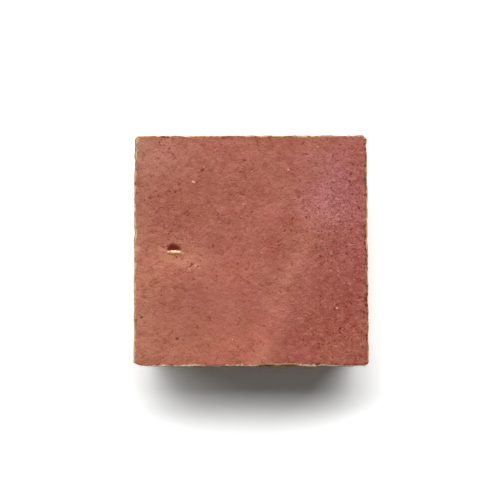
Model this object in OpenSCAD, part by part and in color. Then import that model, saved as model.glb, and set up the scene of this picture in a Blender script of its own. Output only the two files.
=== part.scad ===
// Zellige tile: a small hand-cut wall tile of fired clay, lying on its back with the glazed face up.
// The origin is the middle of the back. +X runs to the right of the face and +Y to its far edge.
// Units are millimetres.

/* [Face] */
// Width of the glazed face along its near edge
face_width = 50.4; // [40:0.2:120]
// Depth of the glazed face from its near edge to its far edge, halfway along them
face_depth = 49.5; // [40:0.1:120]
// How much shorter the far edge is than the near edge, from cutting by eye
face_taper = 0.6; // [0:0.1:2]
// How much further off the right end of the far edge is than its left end
far_skew = 0.14; // [0:0.02:1]

/* [Body] */
// Thickness from the back to the glazed face
thickness = 10.5; // [8:0.5:16]
// How far each side runs in under the face on its way down to the back
undercut = 2.0; // [1:0.1:3]

/* [Hammer scars down the sides] */
// Spacing of the hammer's blows along a side
blow_pitch = 4.3; // [3:0.1:8]
// How deep a blow's scar is hollowed out
scar_depth = 0.3; // [0.1:0.02:0.5]
// How far a scar bites into the edge of the face
scar_bite = 0.09; // [0.03:0.01:0.2]

/* [Flakes off the back edges] */
// Spacing of the flakes broken off along a back edge
flake_pitch = 5.6; // [4:0.1:10]
// How far a flake bites in at the back
flake_depth = 0.9; // [0.3:0.1:1.2]
// Height up the side at which a flake runs out
flake_height = 3.6; // [2:0.1:6]

/* [Nicks in the face's edge] */
// Spacing of the nicks along an edge
nick_pitch = 7.5; // [4:0.5:20]
// How far a nick reaches into the face
nick_reach = 0.25; // [0.1:0.05:0.6]

/* [Hollows pressed in the face] */
// Radius of a hollow's rim
hollow_radius = 8.2; // [5:0.1:8.4]
// Depth of the deepest hollow
hollow_depth = 0.16; // [0.08:0.01:0.3]

/* [Pit in the glaze] */
// Distance of the pit's middle from the left edge of the face
pit_from_left = 8.6; // [4:0.1:36]
// Distance of the pit's lip from the near edge of the face
pit_from_near = 24.25; // [4:0.05:36]
// Width of the pit's round hole, before the lip cuts it short
pit_width = 3.0; // [1:0.1:4]
// Distance from the lip to the far rim of the pit
pit_span = 1.8; // [0.6:0.1:3]
// Depth of the pit below the face
pit_depth = 0.8; // [0.4:0.1:2]

/* [Hidden] */
$fn = 96;

GLAZE = [0.69, 0.40, 0.34];

// Share of the taper that the right side takes.
RIGHT_TAPER = 0.7;
// The face's corners, anticlockwise from the near left one.
CORNERS = [
    [-face_width / 2, -face_depth / 2],
    [face_width / 2, -face_depth / 2],
    [face_width / 2 - face_taper * RIGHT_TAPER, (face_depth + far_skew) / 2],
    [-face_width / 2 + face_taper * (1 - RIGHT_TAPER), (face_depth - far_skew) / 2]
];

// Angle of the sides from upright.
LEAN = atan(undercut / thickness);
// Longer than any line through the tile, for the blocks that cut it.
REACH = 2 * (face_width + face_depth + thickness);

// What each corner lost: the direction that the break faces, and how far in from the corner it lies.
CORNER_BREAKS = [
    [246, 0.72], [205, 0.30],
    [292, 0.32], [315, 0.62], [338, 0.26],
    [20, 0.20], [44, 0.62], [68, 0.36],
    [112, 0.40], [136, 0.62], [160, 0.32]
];
// How much further than the sides the scars, the flakes and the corner breaks lean.
SCAR_LEAN = 2;
FLAKE_LEAN = atan(flake_depth / flake_height);
BREAK_LEAN = 9;

// The larger chips out of the face's edge: the side, the place along it as a share of its length,
// the chip's length and how far it reaches into the face.
EDGE_CHIPS = [
    [0, 0.575, 4.8, 0.4],
    [0, 0.655, 4.0, 0.35],
    [3, 0.055, 3.0, 0.6],
    [2, 0.46, 2.4, 0.4],
    [1, 0.30, 2.0, 0.35]
];
// Angle from upright of the plane that a chip follows down the side.
CHIP_SLOPE = 48;

// Hollows in the face: the middle as shares of the face's width and depth, and the depth as a share of
// the deepest one's.
HOLLOWS = [
    [-0.27, 0.02, 1.0],
    [0.07, 0.27, 0.8],
    [0.27, -0.03, 0.9],
    [-0.05, -0.27, 0.75]
];
// Angle from upright of the pit's lip.
LIP_LEAN = 36;

// A value from -1 to 1 that looks irregular as i counts up. A different k gives another row of them.
function irregular(i, k) = sin(137.5 * i + 71 * k + 40 * sin(57 * i * k));

function side_vector(k) = CORNERS[(k + 1) % 4] - CORNERS[k];
function side_middle(k) = (CORNERS[(k + 1) % 4] + CORNERS[k]) / 2;
function side_length(k) = norm(side_vector(k));
function side_angle(k) = atan2(side_vector(k)[1], side_vector(k)[0]);
function count_along(k, pitch) = max(3, round(side_length(k) / pitch));
// Place of the i-th of n marks along side k, from the middle, moved off its even spacing.
function along(k, i, n, stray) = side_length(k) * ((i + 0.5 + stray) / n - 0.5);

// Radius of the circle that meets a flat in a chord of the given half length, the given depth in.
function dish_radius(half_chord, depth) = (half_chord * half_chord + depth * depth) / (2 * depth);

// Puts its children on side k: X runs along the edge of the face to the left, Y points into the air
// square to the side, and Z is up, with zero at the face.
module on_side(k) {
    middle = side_middle(k);
    translate([middle[0], middle[1], thickness])
        rotate([0, 0, side_angle(k) + 180])
            children();
}

// Everything on the air side of a plane through the origin that leans in under the face.
module air_beyond(lean) {
    rotate([-lean, 0, 0])
        translate([-REACH / 2, 0, -REACH / 2])
            cube([REACH, REACH, REACH]);
}

// The clay square before any finer work: a slab with four sides that run in under the face.
module blank() {
    difference() {
        translate([-face_width / 2 - 1, -face_depth / 2 - 1, 0])
            cube([face_width + 2, face_depth + 2, thickness]);
        for (k = [0:3])
            on_side(k) air_beyond(LEAN);
    }
}

// A block of air whose inner wall, on side k, is a row of n upright round flutes. They bite in by the given
// amount on average, and are as wide as flutes that are dish deep and meet in ridges.
module fluted_air(k, n, dish, bite, row) {
    radius = dish_radius(0.62 * side_length(k) / n, dish);
    linear_extrude(height = REACH, center = true)
        for (i = [0:n - 1]) {
            inset = bite * (1 + 0.5 * irregular(i, k + row));
            translate([along(k, i, n, 0.18 * irregular(i, k + row + 4)), radius - inset])
                circle(r = radius);
        }
}

// Shallow scars from top to bottom, one for each blow of the hammer, which scallop the edge of the face.
module side_scars(k) {
    rotate([-LEAN - SCAR_LEAN, 0, 0])
        fluted_air(k, count_along(k, blow_pitch), scar_depth, scar_bite, 1);
}

// Scars of flakes that broke off the back edge, deepest at the back and running out part of the way up.
module back_flakes(k) {
    rotate([-LEAN, 0, 0])
        translate([0, 0, flake_height - thickness / cos(LEAN)])
            rotate([-FLAKE_LEAN, 0, 0])
                fluted_air(k, count_along(k, flake_pitch), flake_depth, 0.3 * flake_depth, 17);
}

// Small bites out of the edge of the face, where the glaze has flaked.
module edge_nicks(k) {
    n = count_along(k, nick_pitch);
    for (i = [0:n - 1]) {
        reach = nick_reach * (1 + 0.5 * irregular(i, k + 33));
        chip(along(k, i, n, 0.35 * irregular(i, k + 37)), reach * (4 + 1.5 * irregular(i, k + 41)), reach);
    }
}

// One chip out of the edge of the face: a shallow round hollow on a slope between the face and the side.
module chip(place, length, reach) {
    radius = dish_radius(length / 2, reach * cos(CHIP_SLOPE));
    translate([place, -reach, 0])
        rotate([CHIP_SLOPE, 0, 0])
            translate([0, radius, 0])
                sphere(r = radius);
}

module edge_chips() {
    for (c = EDGE_CHIPS)
        on_side(c[0]) chip(side_length(c[0]) * (0.5 - c[1]), c[2], c[3]);
}

// Flat breaks that take the points off the corners.
module corner_breaks() {
    for (b = CORNER_BREAKS) {
        corner = CORNERS[(floor(b[0] / 90) + 2) % 4];
        facing = [cos(b[0]), sin(b[0])];
        translate([corner[0] - b[1] * facing[0], corner[1] - b[1] * facing[1], thickness])
            rotate([0, 0, b[0] - 90])
                air_beyond(LEAN + BREAK_LEAN);
    }
}

// Wide, very shallow dishes left by the hand that smoothed the clay.
module face_hollows() {
    for (h = HOLLOWS) {
        depth = hollow_depth * h[2];
        radius = dish_radius(hollow_radius, depth);
        translate([face_width * h[0], face_depth * h[1], thickness + radius - depth])
            sphere(r = radius);
    }
}

// A blown pit in the glaze: a round-bottomed hole with a straight lip on its near side.
module glaze_pit() {
    radius = dish_radius(pit_width / 2, pit_depth);
    translate([pit_from_left - face_width / 2, pit_from_near - face_depth / 2, thickness])
        intersection() {
            translate([0, pit_span - pit_width / 2, radius - pit_depth])
                sphere(r = radius);
            rotate([LIP_LEAN, 0, 0])
                translate([-pit_width, 0, -2 * pit_width])
                    cube([2 * pit_width, 2 * pit_width, 4 * pit_width]);
        }
}

module tile() {
    color(GLAZE)
        difference() {
            blank();
            for (k = [0:3])
                on_side(k) {
                    side_scars(k);
                    back_flakes(k);
                    edge_nicks(k);
                }
            edge_chips();
            corner_breaks();
            face_hollows();
            glaze_pit();
        }
}

tile();
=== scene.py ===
"""Looks of a small hand-cut zellige tile of fired clay, lying on its back with its glazed face up.

One mesh stands for the whole tile. It is laid over the CAD solid by casting rays at it, then gets the
fine relief that the solid leaves out: the uneven glaze with its grooves and grains, the glaze's broken
edge, the rough breaks down the sides and the gritty back. Lengths are in metres.
"""
import math

import bpy
import numpy as np
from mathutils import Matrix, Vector, noise
from mathutils.bvhtree import BVHTree


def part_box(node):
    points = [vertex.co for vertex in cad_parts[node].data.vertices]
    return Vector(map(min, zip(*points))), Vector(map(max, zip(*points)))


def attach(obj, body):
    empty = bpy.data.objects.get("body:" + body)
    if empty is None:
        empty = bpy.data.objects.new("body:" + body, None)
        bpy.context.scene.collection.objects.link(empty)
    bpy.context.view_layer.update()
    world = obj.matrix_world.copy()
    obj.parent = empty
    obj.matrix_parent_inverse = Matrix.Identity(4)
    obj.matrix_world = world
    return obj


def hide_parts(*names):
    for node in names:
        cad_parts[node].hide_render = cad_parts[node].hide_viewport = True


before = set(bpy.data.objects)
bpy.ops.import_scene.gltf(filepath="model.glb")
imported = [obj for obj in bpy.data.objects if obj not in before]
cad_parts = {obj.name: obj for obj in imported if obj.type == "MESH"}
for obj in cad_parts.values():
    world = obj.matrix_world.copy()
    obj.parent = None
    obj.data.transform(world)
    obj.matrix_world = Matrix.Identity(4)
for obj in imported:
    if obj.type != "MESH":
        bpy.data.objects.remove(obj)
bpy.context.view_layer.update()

MM = 0.001
low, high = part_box("tile")
TOP = high.z

# ---------------------------------------------------------------- the mesh's layout

CELLS = 256                   # cells across the face, each way
BACK_STEP = 4                 # the back's cells are this many times wider, so it divides CELLS
SIDE_ROWS = 24                # rows of cells down the sides
RAY_FOOT = 0.6                # size of the square that rays at the sides aim at, as a share of the tile's
RAY_START = 20 * MM           # and how far out from it they start
LOWEST_RAY = 0.004 * MM       # height of the lowest of them, just above the back
EDGE_BAND = 1.6 * MM          # strip along the edge with finer cells
EDGE_FINER = 0.62             # and how much smaller they are there
PIT = (-16.5 * MM, 0.4 * MM)  # middle of the pit
PIT_BAND = 2.4 * MM           # half the width of the patch round the pit with finer cells
PIT_FINER = 0.5               # and how much smaller they are there
PIT_DEPTH = 0.2 * MM          # what lies further below the face than this is a chip or the pit
PIT_STRETCH = 0.14            # share by which the pit's far part is drawn out away from its lip
SOLID_LIP = -0.5 * MM         # the lip's place in the solid, up the face from its middle
LIP_WIDTH = 0.52 * MM         # from the pit's near rim to the foot of its lip
LIP_BEND = 0.30 * MM          # how far the right end of the lip turns down towards the near edge

# ---------------------------------------------------------------- helpers


def smooth_step(x, start, end):
    """0 at start, 1 at end, and smooth between them."""
    t = np.clip((x - start) / (end - start), 0, 1)
    return t * t * (3 - 2 * t)


def wavy(points, wavelength, octaves=1, shift=0.0):
    """Smooth noise of about -1 to 1 at each of the points. Another shift gives another draw of it."""
    step = Vector((shift, 2.3 * shift, -1.7 * shift))
    return np.array([noise.fractal(Vector(p) / wavelength + step, 1.0, 2.0, octaves) for p in points])


def scars(points, size):
    """Shell-shaped scars with sharp ridges between them: 0 on a ridge, 1 in the middle of a scar."""
    depths = []
    for p in points:
        distances = noise.voronoi(Vector(p) / size)[0]
        depths.append(distances[1] - distances[0])
    shallow = 1 - np.clip(np.array(depths), 0, 1)
    return 1 - shallow * shallow


def strokes(points, marks):
    """How much of a mark each point holds. A mark is a short line: its middle, length, width, angle
    and strength."""
    held = np.zeros(len(points))
    for x, y, length, width, angle, strength in marks:
        reach = length / 2 + 3 * width
        close = np.nonzero((np.abs(points[:, 0] - x) < reach) & (np.abs(points[:, 1] - y) < reach))[0]
        off = points[close, :2] - (x, y)
        along = off @ (math.cos(angle), math.sin(angle))
        beyond = np.maximum(np.abs(along) - length / 2, 0)
        aside = off @ (-math.sin(angle), math.cos(angle))
        mark = strength * np.exp(-(beyond * beyond + aside * aside) / (width * width))
        held[close] = np.maximum(held[close], mark)
    return held


def grid_lines(half_length, fine_at):
    """Places of the grid's lines, from -1 to 1: closer together near the edges and near fine_at."""
    middles = (np.arange(CELLS) + 0.5) / CELLS * 2 - 1
    to_edge = (1 - np.abs(middles)) * half_length
    to_pit = np.abs(middles * half_length - fine_at)
    size = 1 - EDGE_FINER * smooth_step(to_edge, EDGE_BAND, 0.3 * EDGE_BAND)
    size *= 1 - PIT_FINER * smooth_step(to_pit, PIT_BAND, 0.7 * PIT_BAND)
    lines = np.concatenate([[0], np.cumsum(size)])
    return lines / lines[-1] * 2 - 1


def four_edges(values, step=1):
    """What the ring of columns holds, split into the near, right, far and left edges of the grid."""
    count = len(values) // 4
    near = values[:count + 1:step]
    right = values[count:2 * count + 1:step]
    far = values[2 * count:3 * count + 1:step][::-1]
    left = np.concatenate([values[3 * count:], values[:1]])[::step][::-1]
    return near, right, far, left


def fill_between(edges, across, up):
    """Grid of points that fills in between four edges (a Coons patch)."""
    near, right, far, left = edges
    across = across[:, None, None]
    up = up[None, :, None]
    return (
        (1 - up) * near[:, None] + up * far[:, None] + (1 - across) * left[None] + across * right[None]
        - (1 - across) * (1 - up) * near[0] - across * (1 - up) * near[-1]
        - (1 - across) * up * far[0] - across * up * far[-1]
    )


# ---------------------------------------------------------------- the outline, laid over the solid

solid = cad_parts["tile"].data
tree = BVHTree.FromPolygons([v.co for v in solid.vertices], [p.vertices for p in solid.polygons])
HALF = np.array([(high.x - low.x) / 2, (high.y - low.y) / 2])
MIDDLE = np.array([(high.x + low.x) / 2, (high.y + low.y) / 2])

lines_x = grid_lines(HALF[0], PIT[0])
lines_y = grid_lines(HALF[1], PIT[1])

# One column for each grid line that meets the edge, anticlockwise from the near left corner.
ones = np.ones(CELLS)
ring = np.concatenate([
    np.c_[lines_x[:-1], -ones],
    np.c_[ones, lines_y[:-1]],
    np.c_[lines_x[:0:-1], ones],
    np.c_[-ones, lines_y[:0:-1]],
])
COLUMNS = len(ring)
foot = MIDDLE + RAY_FOOT * HALF * ring
outward = HALF * ring * (1 - RAY_FOOT)
outward /= np.linalg.norm(outward, axis=1)[:, None]


def side_at(column, z):
    """Distance from a column's foot to the side of the tile at height z, found from outside."""
    start = foot[column] + outward[column] * RAY_START
    inward = Vector((-outward[column, 0], -outward[column, 1], 0))
    return RAY_START - tree.ray_cast(Vector((start[0], start[1], z)), inward)[3]


# The rim: the outermost point of each column. It is the edge of the face, or lower where that is chipped.
rim_depths = np.array([0.02, 0.07, 0.13, 0.2, 0.28, 0.38, 0.5, 0.65, 0.85]) * MM
reaches = np.array([[side_at(c, TOP - d) for d in rim_depths] for c in range(COLUMNS)])
rim_z = TOP - rim_depths[reaches.argmax(axis=1)]
rim_place = foot + outward * reaches.max(axis=1)[:, None]

# Small breaks along the rim, and a low swell of clay where the glaze is gone from the near edge's middle.
rim_points = np.c_[rim_place, np.full(COLUMNS, TOP)]
near_half = rim_place[:, 1] < 0
LONG_CHIP = 5.6 * MM    # middle of the bare stretch in the near edge, measured across the face
CLAY_SWELL = 0.22 * MM  # how far the clay swells out there
long_chip = smooth_step(np.abs(rim_place[:, 0] - LONG_CHIP), 5.2 * MM, 3.6 * MM) * near_half
break_in = 0.03 * MM * (1 + wavy(rim_points, 0.9 * MM, 3, 3.0))
break_in += 0.07 * MM * smooth_step(wavy(rim_points, 2.6 * MM, 2, 5.0), 0.15, 0.6)
break_in -= CLAY_SWELL * long_chip
rim_place = rim_place - outward * break_in[:, None]

CORNER_BLEND = 12      # passes of the blend from one side's values to the next one's

# What differs from side to side: the near, right, far and left side's value.
LEDGE_WIDTH = (0.25, 0.11, 0.11, 0.14)  # mm of level bare clay along the edge
LEDGE_UNEVEN = (0.35, 1.0, 1.0, 1.0)    # how unevenly wide it is
BEVEL_WIDTH = (0.12, 0.07, 0.11, 0.16)  # mm of bevel outside it
EDGE_STAIN = (0.15, 0.40, 0.30, 0.35)   # how far the glaze has stained the clay there
EDGE_FRESH = (0.45, 0.15, 0, 0.10)      # how freshly broken it looks


def by_side(near, right, far, left):
    """A value for each column from one for each side, blended round the corners."""
    values = np.repeat([near, right, far, left], CELLS)
    for _ in range(CORNER_BLEND):
        values = (np.roll(values, 1) + values + np.roll(values, -1)) / 3
    return values


def worn_corner(x_side, y_side, radius):
    """For each column: 1 at a corner of the face, falling to 0 at about twice the radius from it."""
    corner = MIDDLE + HALF * (x_side, y_side)
    return np.exp(-((rim_place - corner) ** 2).sum(axis=1) / (radius * radius))


# Where the glaze has broken away: a level ledge of bare clay, then a bevel down to the rim.
near_columns = np.arange(COLUMNS) < CELLS
left_columns = np.arange(COLUMNS) >= 3 * CELLS
tan_end = smooth_step(rim_place[:, 1], 17 * MM, 21 * MM) * left_columns
ragged = wavy(rim_points, 0.8 * MM, 3, 9.0)
flaked = smooth_step(wavy(rim_points, 2.2 * MM, 2, 12.0), 0.05, 0.5)
uneven = by_side(*LEDGE_UNEVEN) * (1.5 * ragged + 1.4 * flaked)
ledge = by_side(*LEDGE_WIDTH) * (1 + uneven)
ledge += 0.14 * smooth_step(rim_place[:, 0], -8 * MM, -14 * MM) * near_columns
ledge += 0.10 * long_chip + 0.25 * worn_corner(1, 1, 1.3 * MM)
ledge += 0.15 * worn_corner(-1, -1, 1.4 * MM) + 0.20 * worn_corner(1, -1, 1.3 * MM)
ledge = MM * np.maximum(ledge, 0.01)
bevel = by_side(*BEVEL_WIDTH) * (1 + 0.7 * wavy(rim_points, 1.1 * MM, 2, 15.0))
bevel += 0.34 * long_chip + 0.30 * tan_end * (1 + ragged) + 0.30 * worn_corner(-1, 1, 1.5 * MM)
bevel = MM * np.maximum(bevel, 0.03)
GLAZE_STEP = 0.05 * MM  # drop from the glaze to the ledge
BEVEL_SLOPE = 0.75      # fall of the bevel as a share of its width

# ---------------------------------------------------------------- the face, laid over the solid

face_xy = fill_between(four_edges(rim_place), (lines_x + 1) / 2, (lines_y + 1) / 2)

# Near the pit the solid is looked up a little to one side, which bends the pit's round outline and its lip.
# Beyond the lip it is looked up a little nearer to it, which draws out the pit's far part.
look_xy = face_xy.reshape(-1, 2).copy()
near_pit = np.linalg.norm(look_xy - PIT, axis=1) < PIT_BAND * 1.4
pit_points = np.c_[look_xy[near_pit], np.full(near_pit.sum(), TOP)]
look_xy[near_pit, 0] += 0.22 * MM * wavy(pit_points, 1.1 * MM, 2, 101.0)
look_xy[near_pit, 1] += 0.12 * MM * wavy(pit_points, 0.8 * MM, 2, 111.0)
look_xy[near_pit, 1] += LIP_BEND * smooth_step(pit_points[:, 0] - PIT[0], 0.9 * MM, 1.6 * MM)
look_xy[near_pit, 1] -= PIT_STRETCH * np.maximum(look_xy[near_pit, 1] - SOLID_LIP, 0)


def face_height(x, y):
    """Height of the solid under a place on the face, or of its top where the ray meets nothing."""
    hit = tree.ray_cast(Vector((x, y, TOP + MM)), Vector((0, 0, -1)))[0]
    return hit.z if hit else TOP


SIZE = CELLS + 1   # grid points each way
HOLLOW_BLEND = 80  # passes of the blend that softens the hollows' rims
PIT_BLEND = 36     # passes of the one that rounds over the pit's far rim
POOL_AND_SHADE_BLEND = 60    # passes of the one that fades the pit's dark glaze and painted shade out round it
cast_z = np.array([face_height(x, y) for x, y in look_xy]).reshape(SIZE, SIZE)


def blurred(values, passes):
    """Values on the grid, each blended with its neighbours."""
    for _ in range(passes):
        wide = np.pad(values, 1, mode="edge")
        values = (4 * values + wide[:-2, 1:-1] + wide[2:, 1:-1] + wide[1:-1, :-2] + wide[1:-1, 2:]) / 8
    return values


# The solid's round hollows have crisp rims. The hand leaves none, so they are blended into the face, and
# the chips and the pit stay out of the blend.
deep = cast_z < TOP - PIT_DEPTH
weight = np.where(deep, 1e-6, 1.0)
soft_z = blurred(cast_z * weight, HOLLOW_BLEND) / blurred(weight, HOLLOW_BLEND)


def on_grid(values):
    """What each edge's column holds, for every grid point: near, right, far and left."""
    near, right, far, left = four_edges(values)
    return np.stack([
        np.repeat(near[:, None], SIZE, axis=1), np.repeat(right[None], SIZE, axis=0),
        np.repeat(far[:, None], SIZE, axis=1), np.repeat(left[None], SIZE, axis=0),
    ])


near_rim, right_rim, far_rim, left_rim = four_edges(rim_place)
edge_gap = np.stack([
    np.linalg.norm(face_xy - near_rim[:, None], axis=2),
    np.linalg.norm(face_xy - right_rim[None], axis=2),
    np.linalg.norm(face_xy - far_rim[:, None], axis=2),
    np.linalg.norm(face_xy - left_rim[None], axis=2),
])
# How far each grid point lies out past the edge of the glaze, past the ledge and past the unstained clay.
past_glaze = (on_grid(ledge + bevel) - edge_gap).max(axis=0).ravel()
past_ledge = (on_grid(bevel) - edge_gap).max(axis=0).ravel()
past_clean = (on_grid(bevel + 0.8 * ledge * long_chip) - edge_gap).max(axis=0).ravel()
to_rim = edge_gap.min(axis=0).ravel()


def by_rim(values):
    """What the nearest edge's column holds, for every grid point."""
    return np.take_along_axis(on_grid(values), edge_gap.argmin(axis=0)[None], axis=0).ravel()


blend_in = smooth_step(to_rim, 0.6 * MM, EDGE_BAND).reshape(SIZE, SIZE)
face_z = np.where(deep, cast_z, cast_z * (1 - blend_in) + soft_z * blend_in)

# The pit: crisp along its near lip, and rounded over along its far rim.
sunk = np.maximum(soft_z - cast_z - 0.03 * MM, 0) * (np.linalg.norm(face_xy - PIT, axis=2) < PIT_BAND)
lip_y = face_xy[sunk > 0, 1].min()
past_lip = face_xy[:, :, 1] - lip_y + LIP_BEND * smooth_step(face_xy[:, :, 0] - PIT[0], 0.9 * MM, 1.6 * MM)
rounded = smooth_step(past_lip, 0.6 * MM, 1.2 * MM)
sunk = sunk * (1 - rounded) + blurred(sunk, PIT_BLEND) * rounded
face_z = np.where(np.linalg.norm(face_xy - PIT, axis=2) < PIT_BAND, soft_z - sunk, face_z).ravel()
sunk = sunk.ravel()
past_lip = past_lip.ravel()
deep = deep.ravel()

# ---------------------------------------------------------------- relief of the glaze

face = np.c_[face_xy.reshape(-1, 2), np.full(SIZE * SIZE, TOP)]
relief = 0.050 * MM * wavy(face, 7.0 * MM, 2, 21.0)
relief += 0.028 * MM * wavy(face, 2.4 * MM, 2, 31.0)


def patch(x, y, x_radius, y_radius):
    """1 in the middle of a soft patch of the face, falling to 0 round it. All lengths are in mm."""
    return np.exp(-((face[:, 0] / MM - x) / x_radius) ** 2 - ((face[:, 1] / MM - y) / y_radius) ** 2)


# How coarse the glaze is: smooth in the middle of the near half, rougher beyond the pit, and roughest down
# the right side.
to_right = (HALF[0] + MIDDLE[0] - face[:, 0]) / MM
coarse = 0.50 + 0.30 * wavy(face, 6.0 * MM, 2, 205.0)
coarse += 0.45 * np.exp(-(to_right / 14) ** 2) + 0.50 * np.exp(-(to_right / 1.2) ** 2)
coarse += 0.25 * patch(-16, 9, 9, 11)
coarse -= 0.45 * patch(-4, -16, 11, 10)
coarse = np.clip(coarse, 0, 1.3)
relief += 0.022 * MM * coarse * wavy(face, 0.95 * MM, 2, 41.0)

# The violet bloom is frosted with fine pale grains.
frost = patch(16.8, 8.8, 6.5, 6.5)

# A low fold in the glaze runs up the face: its middle line leans and bends as it goes from near to far.
up_face = face[:, 1] / HALF[1]
fold_x = MM * (10.9 + 8.6 * up_face + 1.2 * np.sin(2.6 * up_face))
off_fold = face[:, 0] - fold_x
fold = np.exp(-(off_fold / np.where(off_fold < 0, 2.3 * MM, 1.4 * MM)) ** 2)
fold *= smooth_step(up_face, 1.0, 0.0)
relief += 0.030 * MM * fold

# Marks seen one by one: place across and up the face, length and width in mm, angle in degrees, strength.
PINHOLES = [
    (-10.4, 17.2, 0.3, 0.32, 30, 1.0), (-1.5, 19.3, 0.3, 0.28, 0, 0.9), (-21.5, 11.2, 0.1, 0.26, 0, 0.8),
    (7.1, 4.2, 0.1, 0.28, 0, 0.9), (-23.4, -14.2, 0.2, 0.32, 0, 1.0), (-15.8, -18.8, 0.3, 0.32, 20, 1.0),
    (-1.0, -4.0, 0.2, 0.26, 0, 0.9), (18.3, -11.5, 0.3, 0.28, 0, 0.9), (19.0, -16.6, 0.2, 0.34, 0, 1.0),
    (-15.4, 14.2, 0.3, 0.38, 15, 0.7), (-1.9, 12.1, 0.9, 0.36, -30, 0.7), (10.2, 11.5, 0.4, 0.28, 60, 0.7),
    (23.2, -10.0, 0.2, 0.32, 0, 0.9), (-12.8, -3.1, 0.8, 0.28, 55, 0.8),
]
# The last two grains are painted highlights on the lit ridges at the two ends of the pit's lip.
GRAINS_AND_HIGHLIGHTS = [
    (-12.3, 14.7, 0.4, 0.21, -28, 1.2), (7.9, 17.3, 0.2, 0.22, 40, 1.1), (2.2, -0.3, 0.2, 0.18, 10, 0.9),
    (18.3, -12.2, 0.2, 0.24, 0, 1.0), (-4.0, -19.0, 0.2, 0.20, 70, 0.9), (-10.1, 17.9, 0.3, 0.20, 45, 0.8),
    (-11.9, -3.2, 0.5, 0.20, 60, 0.9), (-11.2, -3.0, 0.4, 0.18, -50, 0.9), (-11.0, -3.7, 0.3, 0.18, 20, 0.8),
    (-13.2, -4.0, 0.4, 0.18, -45, 0.8), (-17.8, -0.1, 0.3, 0.20, 0, 0.9), (-14.7, -0.4, 0.6, 0.19, -45, 0.9),
]
chance = np.random.default_rng(7)


def placed(marks):
    """Marks given in mm and degrees, in metres and radians."""
    return [(x * MM, y * MM, a * MM, b * MM, math.radians(angle), s) for x, y, a, b, angle, s in marks]


def strewn(count, longest, thinnest, thickest, weakest):
    """Marks strewn over the face, more of them in some places than in others."""
    places = chance.uniform(-1, 1, (2 * count, 2)) * (HALF - 0.5 * MM) + MIDDLE
    crowd = wavy(np.c_[places, np.zeros(2 * count)], 8.0 * MM, 2, 201.0)
    crowd += chance.uniform(-0.6, 0.6, 2 * count)
    places = places[np.argsort(-crowd)[:count]]
    lengths = chance.uniform(0.1 * longest, longest, count)
    widths = chance.uniform(thinnest, thickest, count)
    angles = chance.normal(0, 0.5, count)
    strengths = chance.uniform(weakest, 1, count)
    return list(zip(places[:, 0], places[:, 1], lengths, widths, angles, strengths))


def along_rim(count, first_side, last_side, deepest, width, strength):
    """Small marks just inside the rim. Sides count from the near one, and 0.5 is the near one's middle."""
    columns = chance.integers(int(first_side * CELLS), int(last_side * CELLS), count) % COLUMNS
    depths = chance.uniform(0.3, 1, count)[:, None] * deepest
    places = rim_place[columns] - outward[columns] * depths
    lengths = chance.uniform(0.1, 0.7, count) * MM
    widths = chance.uniform(0.6, 1, count) * width
    angles = columns // CELLS * math.pi / 2
    strengths = chance.uniform(0.6, 1, count) * strength
    return list(zip(places[:, 0], places[:, 1], lengths, widths, angles, strengths))


# Burnt spots, and pale ticks where the clay shows through.
burns = along_rim(36, 1, 2, 0.6 * MM, 0.36 * MM, 1.2) + along_rim(20, 0.75, 1, 0.6 * MM, 0.36 * MM, 1.2)
burns += along_rim(15, 2, 3, 0.6 * MM, 0.30 * MM, 0.9) + along_rim(22, 3, 4.2, 0.6 * MM, 0.26 * MM, 0.8)
ticks = along_rim(40, 1, 2, 0.3 * MM, 0.18 * MM, 1.0) + along_rim(70, 2, 4, 0.3 * MM, 0.20 * MM, 1.1)
pinhole = strokes(face, placed(PINHOLES) + burns + strewn(25, 0.2 * MM, 0.14 * MM, 0.20 * MM, 0.4))
groove = strokes(face, strewn(420, 1.5 * MM, 0.15 * MM, 0.26 * MM, 0.2))
grain_and_highlight = strokes(face, placed(GRAINS_AND_HIGHLIGHTS) + ticks + strewn(45, 0.3 * MM, 0.12 * MM, 0.16 * MM, 0.2))
pale = strokes(face, strewn(260, 1.0 * MM, 0.15 * MM, 0.26 * MM, 0.2))

# The relief dies out at the rim and in the pit. It is also lowered a little, so that the cut at the solid's
# top takes little off it.
off_pit = smooth_step(np.linalg.norm(face[:, :2] - PIT, axis=1), 1.6 * MM, 2.2 * MM)
calm = smooth_step(to_rim, 0.1 * MM, 0.8 * MM) * off_pit
relief += MM * (0.020 * grain_and_highlight + 0.010 * pale - 0.05 * pinhole - 0.018 * groove)
relief = relief * calm - 0.02 * MM * calm

# The ledge lies a step below the glaze and is a little rough, and the bevel falls away outside it.
bare_clay = smooth_step(past_glaze, 0, 0.08 * MM)
edge_drop = GLAZE_STEP * bare_clay + BEVEL_SLOPE * np.maximum(past_ledge, 0)
edge_drop += 0.03 * MM * bare_clay * (1 + wavy(face, 0.5 * MM, 2, 45.0))
face[:, 2] = np.minimum(face_z + relief, TOP) - edge_drop

# ---------------------------------------------------------------- sides and back

# The face's outermost points are the top of the sides too, and lie at the lower of the two heights there.
ring_index = np.concatenate([
    np.arange(CELLS) * SIZE,
    CELLS * SIZE + np.arange(CELLS),
    np.arange(CELLS, 0, -1) * SIZE + CELLS,
    np.arange(CELLS, 0, -1),
])
rim_z = np.minimum(rim_z, face[ring_index, 2])
face[ring_index, 2] = rim_z

SIDE_CURVE = 1.35      # above 1, the rows of the sides are closer together near the rim
share = (((np.arange(SIDE_ROWS) + 1) / SIDE_ROWS) ** SIDE_CURVE)[:, None]
side_z = rim_z * (1 - share)
reach = np.array([[side_at(c, max(z, LOWEST_RAY)) for c, z in enumerate(row)] for row in side_z])
plan = foot + outward * reach[:, :, None]
skin = np.c_[plan.reshape(-1, 2), side_z.ravel()]
below_rim = (rim_z - side_z).ravel()

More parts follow.
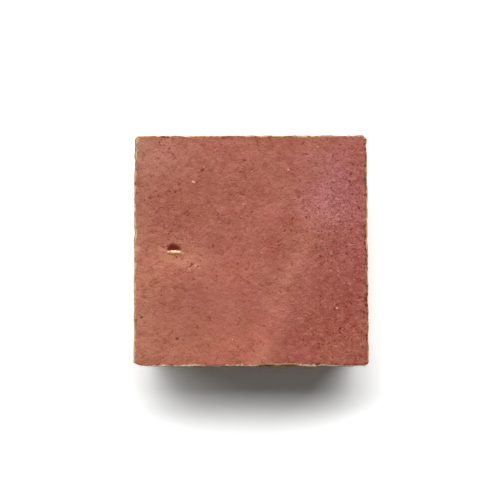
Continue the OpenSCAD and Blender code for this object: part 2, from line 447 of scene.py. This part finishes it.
VOIDS = 110            # round holes strewn over the sides
voids = np.zeros(len(skin))
for centre, radius in zip(skin[chance.integers(0, len(skin), VOIDS)], chance.uniform(0.15, 0.5, VOIDS) * MM):
    voids = np.maximum(voids, np.exp(-((skin - centre) ** 2).sum(axis=1) / (radius * radius)))

# The sides are scarred, pitted and gritty below the rim, and crumbled at the foot.
rough = 0.26 * MM * scars(skin, 3.4 * MM) + 0.10 * MM * scars(skin, 1.3 * MM)
rough += 0.05 * MM * (1 + wavy(skin, 0.6 * MM, 2, 61.0)) + 0.20 * MM * voids
rough *= smooth_step(below_rim, 0, 0.9 * MM)
crumb = 0.22 * MM * smooth_step(skin[:, 2], 0.5 * MM, 0) * (1 + wavy(skin, 1.3 * MM, 2, 71.0))
rim_breaks = np.tile(break_in, SIDE_ROWS) * smooth_step(below_rim, 1.2 * MM, 0)
side = skin.copy()
side[:, :2] -= np.tile(outward, (SIDE_ROWS, 1)) * (rough + crumb + rim_breaks)[:, None]

# The back is a coarser grid between the sides' lowest points. It is gritty, but nowhere below the floor.
back_edges = four_edges(side[-COLUMNS:, :2], BACK_STEP)
back_xy = fill_between(back_edges, (lines_x[::BACK_STEP] + 1) / 2, (lines_y[::BACK_STEP] + 1) / 2)
back = back_xy[1:-1, 1:-1].reshape(-1, 2)
back = np.c_[back, np.zeros(len(back))]
grit = 0.05 * MM * wavy(back, 2.2 * MM, 2, 81.0) + 0.06 * MM * wavy(back, 7.0 * MM, 2, 91.0)
back[:, 2] = np.maximum(grit, 0)

# ---------------------------------------------------------------- the mesh

vertices = np.concatenate([face, side, back])
side_start = len(face)
back_start = len(face) + len(side)

i, j = np.meshgrid(np.arange(CELLS), np.arange(CELLS), indexing="ij")
corner = (i * SIZE + j).ravel()
polygons = np.c_[corner, corner + SIZE, corner + SIZE + 1, corner + 1].tolist()

rows = [ring_index] + [side_start + r * COLUMNS + np.arange(COLUMNS) for r in range(SIDE_ROWS)]
for upper, lower in zip(rows[:-1], rows[1:]):
    polygons += np.c_[upper, lower, np.roll(lower, -1), np.roll(upper, -1)].tolist()

# The back's cells along its edges also take in the ring's points that lie between their own corners.
BACK_CELLS = CELLS // BACK_STEP
bottom = rows[-1]
back_index = np.zeros((BACK_CELLS + 1, BACK_CELLS + 1), int)
back_index[1:-1, 1:-1] = back_start + np.arange(len(back)).reshape(BACK_CELLS - 1, BACK_CELLS - 1)
back_index[:, 0], back_index[-1, :], back_index[:, -1], back_index[0, :] = four_edges(bottom, BACK_STEP)
between = {}
for start in range(0, COLUMNS, BACK_STEP):
    stretch = [int(bottom[(start + k) % COLUMNS]) for k in range(BACK_STEP + 1)]
    between[(stretch[0], stretch[-1])] = stretch[1:-1]
    between[(stretch[-1], stretch[0])] = stretch[-2:0:-1]
for p in range(BACK_CELLS):
    for q in range(BACK_CELLS):
        loop = [back_index[p, q], back_index[p, q + 1], back_index[p + 1, q + 1], back_index[p + 1, q]]
        polygon = []
        for a, b in zip(loop, loop[1:] + loop[:1]):
            polygon += [int(a)] + between.get((a, b), [])
        polygons.append(polygon)

mesh = bpy.data.meshes.new("zellige_tile")
mesh.from_pydata(vertices.tolist(), [], polygons)
mesh.validate()
mesh.shade_smooth()
# The edge of the back is crisp, so the sides and the back are shaded apart.
back_edge = set(bottom.tolist())
for edge in mesh.edges:
    edge.use_edge_sharp = edge.vertices[0] in back_edge and edge.vertices[1] in back_edge
tile = bpy.data.objects.new("zellige_tile", mesh)
bpy.context.scene.collection.objects.link(tile)
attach(tile, "root")
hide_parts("tile")

# ---------------------------------------------------------------- where the glaze is, and its tones

# Soft patches of tone: middle in mm, radii in mm, and what each adds to the glaze's colour. Those marked are
# partly painted light and shade of the face's low swells: lighter where it faces the light, darker where it
# turns away.
PATCHES = [
    ((-21, 21), (7, 5), (0.036, 0.044, 0.030)),        # pale far left corner
    ((-24.2, 22.5), (1.2, 3), (0.020, 0.060, 0.020)),  # and the tan edge of it
    ((-21, 23.5), (5, 2), (-0.022, -0.006, -0.006)),
    ((-14, 21.5), (5, 3.5), (0.036, 0.017, 0.016)),
    ((1, 21), (3, 3), (0.018, 0.010, 0.001)),
    ((9, 23.5), (5, 2), (-0.034, -0.018, -0.017)),     # darker along the far edge
    ((13.5, 23), (2.5, 1.5), (0.022, 0.012, 0.006)),
    ((-8, 18), (3.5, 4), (-0.014, -0.005, -0.006)),
    ((-25, 0), (3.5, 30), (0.022, 0.022, 0.011)),      # pale left edge
    ((-24, 11), (2.5, 5), (-0.022, 0.004, 0.001)),
    ((-24, 3.5), (2, 1.5), (0.030, 0.026, 0.014)),
    ((-23.5, -9), (2.5, 2.5), (0.026, 0.010, 0.009)),
    ((-23.5, -17), (2.5, 2.5), (0.022, 0.014, 0.010)),
    ((-24, -14), (2.5, 7), (0.032, 0.018, 0.012)),
    ((-24.5, 0.2), (1, 1), (0.200, 0.150, 0.090)),     # thin spot in the left edge
    ((-23, -1), (1.8, 2.2), (-0.028, -0.020, -0.010)),
    ((-16.5, -1), (6, 3), (0.110, 0.060, 0.031)),      # pale ground round the pit's lip, partly painted light
    ((-13.5, -2), (4.5, 2), (0.062, 0.036, 0.021)),    # and running off to its right
    ((-20.5, -5.5), (5, 3.8), (0.060, 0.035, 0.014)),
    ((-16, 7), (5, 4), (-0.040, -0.018, -0.018)),      # dark ground beyond the pit, partly painted shade
    ((-11, 11), (5.5, 3.2), (-0.046, -0.018, -0.018)),
    ((-11.5, 6), (2.5, 3), (0.034, 0.011, 0.005)),
    ((-7, 7), (2, 2.5), (-0.018, -0.009, -0.010)),
    ((-18, 14), (3, 3), (-0.024, -0.006, -0.004)),
    ((-15, -9), (5, 3), (-0.024, -0.012, -0.009)),     # dusky ground below the pale one
    ((-20, -19), (9, 7), (0.016, 0.024, 0.005)),       # ochre near left corner
    ((-17, -21.5), (7, 2.2), (0.034, 0.020, 0.010)),
    ((-4, -21), (9, 5), (0.036, 0.008, -0.003)),       # orange near edge
    ((-5, -5.5), (5, 3), (0.060, 0.018, 0.010)),
    ((-7, -0.5), (2.2, 1.8), (-0.022, -0.011, -0.006)),
    ((-15, -5.5), (2.2, 1.8), (-0.022, -0.016, -0.008)),
    ((1, -21), (2, 2), (0.028, 0.014, 0.010)),
    ((1, -15.5), (2.5, 3.5), (-0.014, -0.009, -0.012)),
    ((-13, -17), (4.5, 2.5), (-0.014, -0.009, -0.005)),
    ((-2, -2), (3.5, 2.5), (0.014, 0.002, -0.003)),
    ((8, -13), (3.5, 1.8), (0.020, 0.009, 0.009)),
    ((13, -17), (2, 2), (0.020, 0.010, 0.008)),
    ((4.6, 0.5), (3.4, 3.2), (-0.034, -0.026, -0.016)),  # dark spots in the middle
    ((-3, 3), (2.5, 2.5), (-0.016, -0.012, -0.010)),
    ((1, 14.5), (5, 2.8), (-0.032, -0.014, -0.013)),
    ((8, 7), (3.2, 2), (-0.052, -0.030, -0.024)),
    ((5, 11), (2, 2), (0.024, 0.009, 0.009)),
    ((10.5, 15), (3, 2.5), (-0.024, -0.009, -0.007)),
    ((5, 23.5), (2.5, 1.5), (-0.036, -0.020, -0.016)),
    ((12.5, 10), (5, 3.4), (0.066, 0.032, 0.046)),     # violet bloom
    ((18, 14), (5, 7), (-0.014, 0.000, 0.034)),
    ((21, 18), (3.5, 4), (-0.022, -0.014, -0.012)),
    ((16, 12.5), (7, 6), (-0.009, -0.007, -0.009)),
    ((9, 7), (2.2, 1.8), (-0.018, -0.012, -0.011)),
    ((17, 18.5), (3.5, 3), (0.026, 0.018, 0.016)),
    ((13, 3), (2.2, 1.8), (-0.024, -0.014, -0.008)),   # dark ground below the bloom
    ((17, 4.5), (4, 2), (-0.022, -0.008, 0.000)),
    ((17.5, 8), (4.5, 2.5), (0.004, 0.004, 0.010)),
    ((24, 8), (3, 12), (-0.034, -0.016, 0.000)),
    ((22, -9), (8.5, 13), (-0.060, -0.034, -0.023)),   # dark right side, partly painted shade
    ((21, -17), (2.5, 2.5), (-0.014, -0.008, -0.009)),
    ((16, -6.5), (5, 4.5), (-0.026, -0.012, -0.007)),
    ((14, -19), (5, 6), (-0.030, -0.021, -0.014)),
    ((9.5, -20), (3, 4), (-0.050, -0.030, -0.016)),
    ((17, -21), (2.5, 2.5), (0.018, 0.008, 0.000)),
    ((9.5, -5), (2, 2), (-0.022, 0.000, 0.003)),
    ((13, -1), (2.5, 2), (0.016, 0.010, 0.010)),
]
GLAZE = np.array([0.388, 0.118, 0.081])
FOLD_TONE = np.array([0.066, 0.029, 0.021])
BEYOND_FOLD = np.array([-0.018, -0.009, -0.006])
tone = np.tile(GLAZE, (len(vertices), 1))
for centre, radii, change in PATCHES:
    off = (vertices[:, :2] / MM - np.array(centre)) / np.array(radii)
    tone += np.exp(-(off ** 2).sum(axis=1))[:, None] * np.array(change)
beyond_fold = smooth_step(off_fold, 1.6 * MM, 3.6 * MM) * smooth_step(face[:, 1], 5 * MM, 1 * MM)
tone[:side_start] += fold[:, None] * FOLD_TONE + beyond_fold[:, None] * BEYOND_FOLD

# Along the left and far edges the glaze runs thin over the clay, and along the right edge it is darker.
THIN_GLAZE = np.array([0.560, 0.310, 0.185])
right_gap, far_gap, left_gap = edge_gap[1:].reshape(3, -1)
thin = 0.5 * np.exp(-(left_gap / (0.55 * MM)) ** 2) + 0.5 * np.exp(-(far_gap / (0.45 * MM)) ** 2)
thin *= smooth_step(wavy(face, 1.8 * MM, 2, 301.0), -0.6, 0.5)
# Along the right edge: glaze pooling where it rolls over, and painted shade where it turns away from the
# light.
right_edge_dark_and_shade = np.exp(-(right_gap / (0.5 * MM)) ** 2)
tone[:side_start] += thin[:, None] * (THIN_GLAZE - tone[:side_start])
tone[:side_start] *= 1 - 0.22 * right_edge_dark_and_shade[:, None]


def vertex_value(name, on_face, on_side=0.0):
    """Stores a number for each vertex. The back gets what the sides' last row has."""
    values = np.zeros(len(vertices))
    values[:side_start] = on_face
    values[side_start:back_start] = on_side
    values[back_start:] = values[back_start - 1]
    attribute = mesh.attributes.new(name, "FLOAT", "POINT")
    attribute.data.foreach_set("value", values.astype(np.float32))


RAGGED = 0.2 * MM      # width over which the edge of the glaze and of the stain is worn ragged
bare = np.clip(0.5 + past_glaze / RAGGED, 0, 1)
stained_share = by_side(*EDGE_STAIN) + 0.50 * long_chip + 0.60 * tan_end
stain = np.clip(0.5 + past_clean / RAGGED, 0, 1) * by_rim(stained_share)
bare[deep & (sunk == 0)] = 1     # the chips
bare[ring_index] = 1

# The pit is dark with glaze that pools in it and with painted shade, fading a little past its far rim.
# Its near lip is broken down to cream clay, and the glaze below that is stained.
along_lip = face[:, 0] - PIT[0]
cream = (sunk > 0.06 * MM) & (past_lip < LIP_WIDTH) & (np.abs(along_lip - 0.3 * MM) < 1.0 * MM)
stained = (past_lip > -0.38 * MM) & (past_lip < 0) & (np.abs(along_lip + 0.1 * MM) < 1.1 * MM)
bare[cream] = 1
LIP_STAIN = np.array([0.270, 0.120, 0.035])
below_lip = np.minimum(1.6 * blurred(stained.reshape(SIZE, SIZE) * 1.0, 2), 1).ravel()[:, None]
tone[:side_start] += below_lip * (LIP_STAIN - tone[:side_start])
# Painted shade with the glaze pooling in the pit, fading out past its far rim and kept off its lip.
pooled_glaze_and_shade = blurred((sunk > 0.06 * MM).reshape(SIZE, SIZE) * 1.0, POOL_AND_SHADE_BLEND).ravel()
pooled_glaze_and_shade *= smooth_step(past_lip, 0.3 * MM, 0.6 * MM)
fresh = blurred(cream.reshape(SIZE, SIZE) * 1.0, 2).ravel()
fresh = np.maximum(fresh, by_rim(by_side(*EDGE_FRESH) * (1 - long_chip)))
stain_below = np.tile(stained_share, SIDE_ROWS) * smooth_step(below_rim, 0.9 * MM, 0.1 * MM)

vertex_value("bare", bare, 1.0)
vertex_value("stain", stain, stain_below)
# Painted shade: the clay is browner deeper in the sides' scars and holes.
vertex_value("hollow", 0.0, np.clip(rough / (0.4 * MM), 0, 1))
vertex_value("pinhole", pinhole * off_pit)
vertex_value("groove", groove * off_pit)
vertex_value("grain_and_highlight", grain_and_highlight)
vertex_value("pale", pale * off_pit)
vertex_value("coarse", coarse)
vertex_value("frost", frost)
vertex_value("pit", pooled_glaze_and_shade)
vertex_value("fresh", fresh)
rgba = np.c_[np.clip(tone, 0, 1), np.ones(len(tone))]
tone_colours = mesh.attributes.new("tone", "FLOAT_COLOR", "POINT")
tone_colours.data.foreach_set("color", rgba.astype(np.float32).ravel())

# ---------------------------------------------------------------- materials

# Colours of the glaze besides its own tone. The first two multiply that tone.
WARM_TONE = (0.985, 1.030, 0.970, 1)
COOL_TONE = (1.005, 0.970, 1.035, 1)
DARK_GLAZE = (0.200, 0.020, 0.004, 1)
LIGHT_GLAZE = (0.560, 0.205, 0.155, 1)
DARK_FROST = (0.230, 0.040, 0.030, 1)
LIGHT_FROST = (0.610, 0.265, 0.265, 1)
PALE_GLINT = (0.640, 0.300, 0.250, 1)
DARK_DOT = (0.140, 0.010, 0.002, 1)
DARK_PINHOLE = (0.110, 0.008, 0.002, 1)
PALE_GRAIN_AND_HIGHLIGHT = (0.900, 0.580, 0.460, 1)
# Dark red of the glaze pooling in the pit and of the painted shade there.
POOLED_GLAZE_AND_SHADE = (0.190, 0.014, 0.001, 1)

CREAM_CLAY = (0.640, 0.440, 0.255, 1)
BUFF_CLAY = (0.530, 0.340, 0.180, 1)
SCAR_SHADE_CLAY = (0.400, 0.245, 0.120, 1)
STAINED_CLAY = (0.340, 0.180, 0.075, 1)
FRESH_CLAY = (0.810, 0.545, 0.365, 1)
DARK_PORE = (0.240, 0.130, 0.055, 1)
LIGHT_SAND = (0.800, 0.600, 0.390, 1)
DARK_SAND = (0.250, 0.140, 0.055, 1)

FACE_COARSE = (0, 1.2)   # range of the face's coarse value that the material tells apart


class Nodes:
    """Short names for making and joining a material's nodes."""

    def __init__(self, tree):
        self.tree = tree
        tree.nodes.clear()

    def add(self, kind, **values):
        node = self.tree.nodes.new(kind)
        for key, value in values.items():
            setattr(node, key, value)
        return node

    def put(self, socket, value):
        if isinstance(value, bpy.types.NodeSocket):
            self.tree.links.new(value, socket)
        else:
            socket.default_value = value

    def noise(self, where, wavelength, detail=2.0, roughness=0.5):
        """Soft noise from 0 to 1, mostly near 0.5."""
        node = self.add("ShaderNodeTexNoise")
        self.put(node.inputs["Vector"], where)
        node.inputs["Scale"].default_value = 1 / wavelength
        node.inputs["Detail"].default_value = detail
        node.inputs["Roughness"].default_value = roughness
        return node.outputs["Fac"]

    def spread(self, value, low, high, to_low=0.0, to_high=1.0):
        """Takes values from low to high over to the range from to_low to to_high, smoothly at both ends."""
        node = self.add("ShaderNodeMapRange", interpolation_type="SMOOTHSTEP")
        self.put(node.inputs["Value"], value)
        node.inputs["From Min"].default_value = low
        node.inputs["From Max"].default_value = high
        node.inputs["To Min"].default_value = to_low
        node.inputs["To Max"].default_value = to_high
        return node.outputs["Result"]

    def math(self, operation, a, b=0.0):
        node = self.add("ShaderNodeMath", operation=operation)
        self.put(node.inputs[0], a)
        self.put(node.inputs[1], b)
        return node.outputs[0]

    def mix(self, share, a, b, blend="MIX"):
        node = self.add("ShaderNodeMix", data_type="RGBA", blend_type=blend)
        self.put(node.inputs[0], share)
        self.put(node.inputs[6], a)
        self.put(node.inputs[7], b)
        return node.outputs[2]

    def value(self, name, output="Fac"):
        """What the mesh's vertices hold under a name."""
        return self.add("ShaderNodeAttribute", attribute_name=name).outputs[output]

    def bump(self, height, distance, normal=None):
        node = self.add("ShaderNodeBump")
        self.put(node.inputs["Height"], height)
        node.inputs["Distance"].default_value = distance
        if normal is not None:
            self.put(node.inputs["Normal"], normal)
        return node.outputs["Normal"]


def specks(n, where, spacing, radius):
    """Dots strewn over the face, of random size and larger where it is coarse: 1 inside a dot."""
    cells = n.add("ShaderNodeTexVoronoi", voronoi_dimensions="2D")
    n.put(cells.inputs["Vector"], where)
    cells.inputs["Scale"].default_value = 1 / spacing
    draw = n.add("ShaderNodeSeparateColor")
    n.put(draw.inputs["Color"], cells.outputs["Color"])
    growth = n.spread(n.value("coarse"), *FACE_COARSE, 0.25, 1.35)
    size = n.math("MULTIPLY", draw.outputs["Red"], growth)
    reach = n.math("MULTIPLY", size, radius / spacing)
    share = n.math("DIVIDE", cells.outputs["Distance"], n.math("MAXIMUM", reach, 0.001))
    return n.spread(share, 1.0, 0.45)


def glaze_marks(n, where):
    """The glaze's fine marks, each from 0 to 1, by name. The creases are short and curved."""
    swirl = n.add("ShaderNodeTexNoise")
    n.put(swirl.inputs["Vector"], where)
    swirl.inputs["Scale"].default_value = 1 / (0.9 * MM)
    stir = n.add("ShaderNodeVectorMath", operation="MULTIPLY_ADD")
    n.put(stir.inputs[0], swirl.outputs["Color"])
    stir.inputs[1].default_value = (0.9 * MM, 0.9 * MM, 0)
    n.put(stir.inputs[2], where)
    stirred = stir.outputs["Vector"]
    off_line = n.math("ABSOLUTE", n.math("SUBTRACT", n.noise(stirred, 1.9 * MM, 1.0), 0.5))
    here = n.spread(n.noise(where, 1.7 * MM, 2.0), 0.52, 0.60)
    small_dots = specks(n, stirred, 1.3 * MM, 0.24 * MM)
    large_dots = specks(n, stirred, 3.1 * MM, 0.34 * MM)
    return {
        "wrinkle": n.noise(stirred, 1.2 * MM, 3.0, 0.62),
        "grit": n.noise(where, 0.44 * MM, 2.0, 0.65),
        "frost": n.noise(where, 0.40 * MM, 2.0, 0.60),
        "creases": n.math("MULTIPLY", n.spread(off_line, 0.028, 0.008), here),
        "dots": n.math("MAXIMUM", small_dots, large_dots),
        "glints": specks(n, where, 0.85 * MM, 0.17 * MM),
    }


def glaze_colour(n, where, marks):
    """Dusty red glaze: clouds of tone, then wrinkles, grit, frost, creases, dots, pinholes and grains."""
    hue = n.noise(where, 6.0 * MM, 4.0, 0.62)
    cloud = n.noise(where, 3.2 * MM, 4.0, 0.72)
    colour = n.value("tone", "Color")
    colour = n.mix(n.spread(hue, 0.58, 0.36), colour, WARM_TONE, "MULTIPLY")
    colour = n.mix(n.spread(hue, 0.48, 0.66), colour, COOL_TONE, "MULTIPLY")
    colour = n.mix(n.spread(cloud, 0.52, 0.32, 0.0, 0.22), colour, DARK_GLAZE)
    colour = n.mix(n.spread(cloud, 0.50, 0.70, 0.0, 0.24), colour, LIGHT_GLAZE)
    rough = n.spread(n.value("coarse"), *FACE_COARSE, 0.22, 0.80)
    # The wrinkles and grit are darker in their hollows and lighter on their crests: partly the glaze's own
    # speckle, partly painted shade and painted light on the relief that the bump makes from the same noise.
    low_wrinkle = n.spread(marks["wrinkle"], 0.48, 0.32, 0.0, 0.55)
    high_wrinkle = n.spread(marks["wrinkle"], 0.52, 0.68, 0.0, 0.50)
    low_grit = n.spread(marks["grit"], 0.47, 0.29, 0.0, 0.60)
    colour = n.mix(n.math("MULTIPLY", low_wrinkle, rough), colour, DARK_GLAZE)
    colour = n.mix(n.math("MULTIPLY", high_wrinkle, rough), colour, LIGHT_GLAZE)
    colour = n.mix(n.math("MULTIPLY", low_grit, rough), colour, DARK_GLAZE)
    low_frost = n.spread(marks["frost"], 0.48, 0.34, 0.0, 0.58)
    high_frost = n.spread(marks["frost"], 0.50, 0.66, 0.0, 0.55)
    colour = n.mix(n.math("MULTIPLY", low_frost, n.value("frost")), colour, DARK_FROST)
    colour = n.mix(n.math("MULTIPLY", high_frost, n.value("frost")), colour, LIGHT_FROST)
    # Creases, grooves, dots and pinholes are sunk in the relief and painted dark, partly their own colour
    # and partly painted shade; the raised pale marks are partly painted light.
    colour = n.mix(n.math("MULTIPLY", marks["creases"], 0.55), colour, DARK_GLAZE)
    colour = n.mix(n.spread(n.value("groove"), 0.10, 0.95, 0.0, 0.42), colour, DARK_GLAZE)
    colour = n.mix(n.spread(n.value("pale"), 0.10, 0.95, 0.0, 0.22), colour, LIGHT_GLAZE)
    colour = n.mix(n.math("MULTIPLY", marks["glints"], 0.35), colour, PALE_GLINT)
    dots = n.math("MULTIPLY", marks["dots"], n.spread(n.value("coarse"), 0.2, 1.1, 0.40, 0.85))
    colour = n.mix(dots, colour, DARK_DOT)
    colour = n.mix(n.spread(n.value("pinhole"), 0.20, 0.90, 0.0, 0.85), colour, DARK_PINHOLE)
    # Pale grains and ticks, and the painted highlights at the ends of the pit's lip.
    colour = n.mix(n.spread(n.value("grain_and_highlight"), 0.35, 1.05, 0.0, 0.85), colour, PALE_GRAIN_AND_HIGHLIGHT)
    # The pit's pooling glaze and painted shade.
    return n.mix(n.spread(n.value("pit"), 0.10, 0.75), colour, POOLED_GLAZE_AND_SHADE)


def clay_colour(n, where):
    """Buff clay: fresh breaks pale, olive at the glaze's edge, browner in the scars as painted shade, sandy.
    """
    sand = n.noise(where, 0.42 * MM, 4.0, 0.75)
    pores = n.spread(n.noise(where, 1.2 * MM, 3.0, 0.7), 0.37, 0.29, 0.0, 0.8)
    bed = n.noise(where, 5.0 * MM, 3.0, 0.6)
    clay = n.mix(n.spread(bed, 0.38, 0.64), CREAM_CLAY, BUFF_CLAY)
    # Painted shade, browner where the sides are cut in deeper.
    clay = n.mix(n.spread(n.value("hollow"), 0.25, 1.0, 0.0, 0.45), clay, SCAR_SHADE_CLAY)
    clay = n.mix(n.value("stain"), clay, STAINED_CLAY)
    clay = n.mix(n.value("fresh"), clay, FRESH_CLAY)
    clay = n.mix(pores, clay, DARK_PORE)
    clay = n.mix(n.spread(sand, 0.50, 0.70, 0.0, 0.60), clay, LIGHT_SAND)
    return n.mix(n.spread(sand, 0.46, 0.28, 0.0, 0.65), clay, DARK_SAND)


def glazed_clay():
    """Satin glaze over the face, and bare buff clay wherever the glaze is broken off."""
    material = bpy.data.materials.new("glazed_clay")
    material.use_nodes = True
    n = Nodes(material.node_tree)
    where = n.add("ShaderNodeTexCoord").outputs["Object"]

    worn = n.math("ADD", n.value("bare"), n.spread(n.noise(where, 0.40 * MM, 2.0), 0.3, 0.7, -0.3, 0.3))
    broken = n.spread(worn, 0.40, 0.60)
    glazed = n.math("SUBTRACT", 1.0, broken)

    marks = glaze_marks(n, where)

    shader = n.add("ShaderNodeBsdfPrincipled")
    glaze = glaze_colour(n, where, marks)
    n.put(shader.inputs["Base Color"], n.mix(broken, glaze, clay_colour(n, where)))
    smear = n.spread(n.noise(where, 2.0 * MM, 3.0, 0.6), 0.3, 0.7, 0.44, 0.60)
    n.put(shader.inputs["Roughness"], n.mix(broken, smear, (0.9, 0.9, 0.9, 1)))
    shader.inputs["Specular IOR Level"].default_value = 0.3
    height = n.math("ADD", marks["wrinkle"], n.math("MULTIPLY", marks["grit"], 0.45))
    height = n.math("SUBTRACT", height, n.math("MULTIPLY", marks["creases"], 0.12))
    height = n.math("SUBTRACT", height, n.math("MULTIPLY", marks["dots"], 0.25))
    fine = n.math("MULTIPLY", height, glazed)
    sandy = n.math("MULTIPLY", n.noise(where, 0.45 * MM, 5.0, 0.75), broken)
    normal = n.bump(fine, 0.160 * MM)
    n.put(shader.inputs["Normal"], n.bump(sandy, 0.20 * MM, normal))
    n.put(n.add("ShaderNodeOutputMaterial").inputs["Surface"], shader.outputs["BSDF"])
    return material


mesh.materials.append(glazed_clay())

# ---------------------------------------------------------------- floor, light and camera

FLOOR_HALF = 3.0        # half the floor's width
FLOOR_DROP = 0.01 * MM  # how far it lies below the tile's back
FLOOR_WHITE = 1.62      # the white that the camera sees: the paper is lit past white, and only shadow shows
FLOOR_BOUNCE = 0.36     # the grey that every other ray meets
FLOOR_NEAR = 0.09       # out to here only the paper is seen, and further out it blends into the backdrop
FLOOR_FAR = 0.26        # from here on only the white backdrop is seen
AMBIENT = 0.071         # light from all round, as a share of the face's light


def seen_directly(n):
    """1 for rays from the camera, in a mirror-like reflection or through glass."""
    path = n.add("ShaderNodeLightPath")
    seen = n.math("MAXIMUM", path.outputs["Is Camera Ray"], path.outputs["Is Glossy Ray"])
    return n.math("MAXIMUM", seen, path.outputs["Is Transmission Ray"])


def white_floor():
    """A sheet of paper under the tile, on which only the tile's shadow shows, fading into the backdrop."""
    floor_mesh = bpy.data.meshes.new("floor")
    h = FLOOR_HALF
    floor_mesh.from_pydata([(-h, -h, 0), (h, -h, 0), (h, h, 0), (-h, h, 0)], [], [(0, 1, 2, 3)])
    floor = bpy.data.objects.new("floor", floor_mesh)
    floor.location.z = -FLOOR_DROP
    bpy.context.scene.collection.objects.link(floor)
    material = bpy.data.materials.new("white_paper")
    material.use_nodes = True
    n = Nodes(material.node_tree)
    path = n.add("ShaderNodeLightPath")
    bounce = (FLOOR_BOUNCE, FLOOR_BOUNCE, FLOOR_BOUNCE, 1)
    white = (FLOOR_WHITE, FLOOR_WHITE, FLOOR_WHITE, 1)
    paper = n.add("ShaderNodeBsdfDiffuse")
    n.put(paper.inputs["Color"], n.mix(path.outputs["Is Camera Ray"], bounce, white))
    backdrop = n.add("ShaderNodeEmission")
    away = n.add("ShaderNodeVectorMath", operation="LENGTH")
    n.put(away.inputs[0], n.add("ShaderNodeTexCoord").outputs["Object"])
    fade = n.math("MULTIPLY", n.spread(away.outputs["Value"], FLOOR_NEAR, FLOOR_FAR), seen_directly(n))
    blend = n.add("ShaderNodeMixShader")
    n.put(blend.inputs[0], fade)
    n.put(blend.inputs[1], paper.outputs["BSDF"])
    n.put(blend.inputs[2], backdrop.outputs["Emission"])
    n.put(n.add("ShaderNodeOutputMaterial").inputs["Surface"], blend.outputs["Shader"])
    floor_mesh.materials.append(material)


def soft_light(name, azimuth, elevation, width, height, share, distance=2.4):
    """A panel that faces the tile and gives its share of the face's light. Azimuth 0 is on +X, 90 on +Y."""
    a, e = math.radians(azimuth), math.radians(elevation)
    place = Vector((math.cos(a) * math.cos(e), math.sin(a) * math.cos(e), math.sin(e))) * distance
    data = bpy.data.lights.new(name, "AREA")
    data.shape = "RECTANGLE"
    data.size = width
    data.size_y = height
    panel = bpy.data.objects.new(name, data)
    panel.location = place
    panel.rotation_mode = "QUATERNION"
    panel.rotation_quaternion = (-place).to_track_quat("-Z", "Y")
    panel.visible_camera = False
    bpy.context.scene.collection.objects.link(panel)
    # A level white surface at the origin shows this, over pi squared, for each of the panel's watts.
    received = 0
    steps = 24
    for s in range(steps):
        for t in range(steps):
            offset = Vector((((s + 0.5) / steps - 0.5) * width, ((t + 0.5) / steps - 0.5) * height, 0))
            point = place + panel.rotation_quaternion @ offset
            if point.z > 0:
                facing = point.dot(place.normalized()) / point.length
                received += facing * (point.z / point.length) / point.length_squared / steps ** 2
    data.energy = share * math.pi ** 2 / received


white_floor()
soft_light("key", azimuth=86, elevation=38.5, width=4.8, height=1.9, share=0.317)
soft_light("fill", azimuth=100.5, elevation=31.5, width=8.2, height=1.2, share=0.611)

world = bpy.data.worlds.new("studio")
bpy.context.scene.world = world
world.use_nodes = True
w = Nodes(world.node_tree)
backdrop = w.add("ShaderNodeBackground")
w.put(backdrop.inputs["Color"], w.mix(seen_directly(w), (AMBIENT, AMBIENT, AMBIENT, 1), (1, 1, 1, 1)))
w.put(w.add("ShaderNodeOutputWorld").inputs["Surface"], backdrop.outputs["Background"])

camera_data = bpy.data.cameras.new("camera")
camera_data.lens = 100
camera_data.sensor_width = 36
camera = bpy.data.objects.new("camera", camera_data)
FRAME_WIDTH = 106.7 * MM       # what the picture takes in, at the height of the face
AIM = (-0.26 * MM, 0.17 * MM)  # the place on the face in the middle of the picture
camera.location = (*AIM, TOP + FRAME_WIDTH * camera_data.lens / camera_data.sensor_width)
bpy.context.scene.collection.objects.link(camera)
bpy.context.scene.camera = camera
bpy.context.scene.view_settings.view_transform = "Standard"

bpy.context.view_layer.update()
